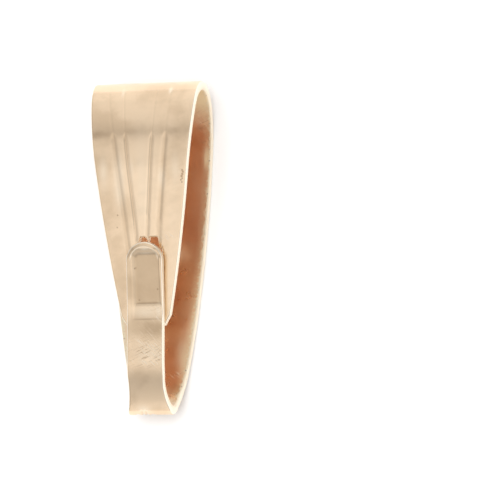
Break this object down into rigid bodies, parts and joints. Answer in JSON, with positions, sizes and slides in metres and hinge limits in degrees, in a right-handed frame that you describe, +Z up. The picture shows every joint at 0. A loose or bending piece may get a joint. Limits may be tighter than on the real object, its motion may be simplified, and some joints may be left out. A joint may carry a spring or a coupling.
{
  "type": "snap bail",
  "caption": "One-piece bent strip bail: a wide grooved fold tapering to a narrow bend, closed by a tongue that snaps into a window in the flap.",
  "frame": {"origin": "centre of the part's box at its bottom, under the flat stretch of the panel that it lies on", "axes": "+Y runs from the narrow bend to the wide fold, +X is across the strip, +Z is up, towards the clasp side"},
  "size_m": [0.005, 0.0152, 0.0037],
  "materials": {
    "gold": "polished rose gold tone with fine scratches"
  },
  "bodies": {
    "root": {"snap_bail": "gold"}
  },
  "joints": []
}
